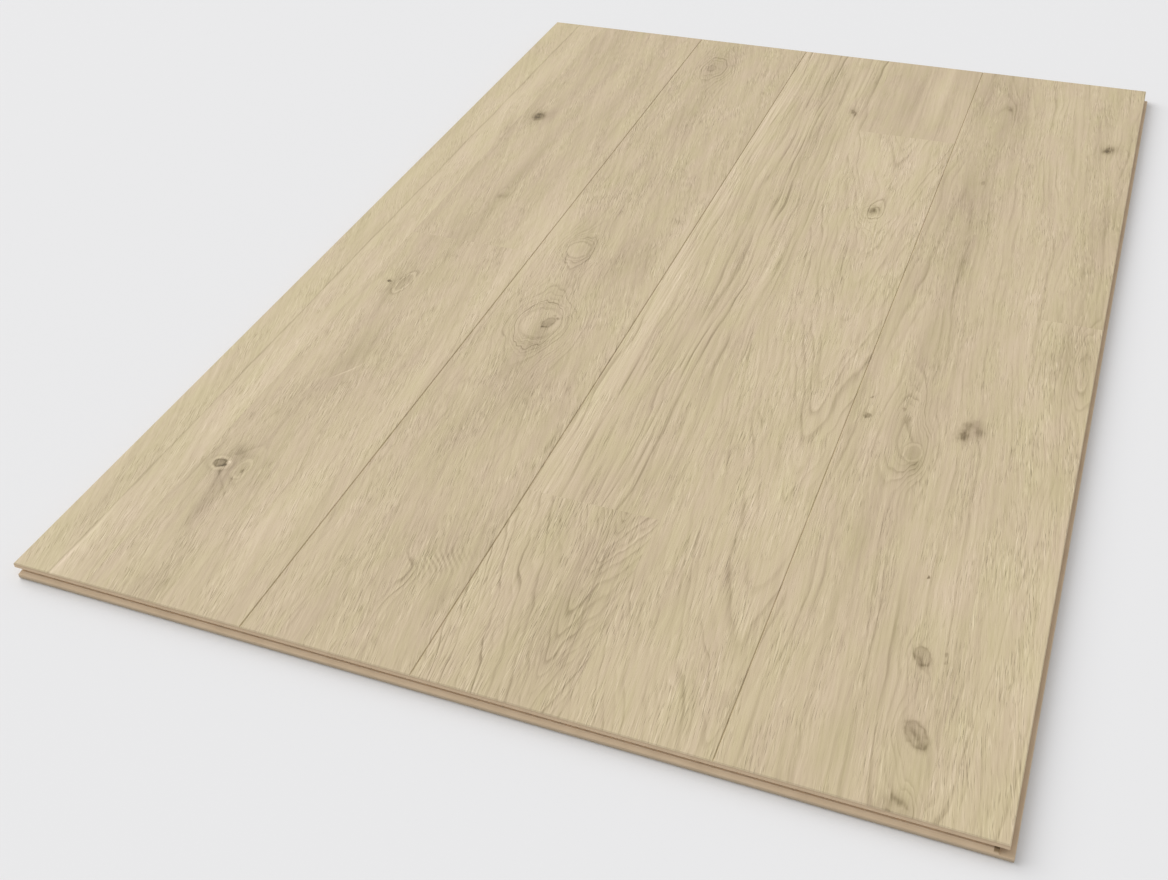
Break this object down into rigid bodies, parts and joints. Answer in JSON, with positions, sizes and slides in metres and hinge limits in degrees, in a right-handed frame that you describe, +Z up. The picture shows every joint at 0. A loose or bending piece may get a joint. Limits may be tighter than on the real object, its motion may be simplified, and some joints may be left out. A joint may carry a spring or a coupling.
{
  "type": "wide plank floorboard",
  "caption": "Flat oak-faced floorboard, its face seamed into wide planks, with grooved, undercut, nosed and rebated edges that join it to the next boards.",
  "frame": {"origin": "centre of the overall size at the underside", "axes": "+Y along the planks, towards the rebated end, +Z up out of the face, and +X across the planks, towards the grooved edge"},
  "size_m": [0.8442, 1.243, 0.014],
  "materials": {
    "oak_board": "matt, pale brushed oak face and tan milled edges"
  },
  "bodies": {
    "root": {"floorboard": "oak_board"}
  },
  "joints": []
}
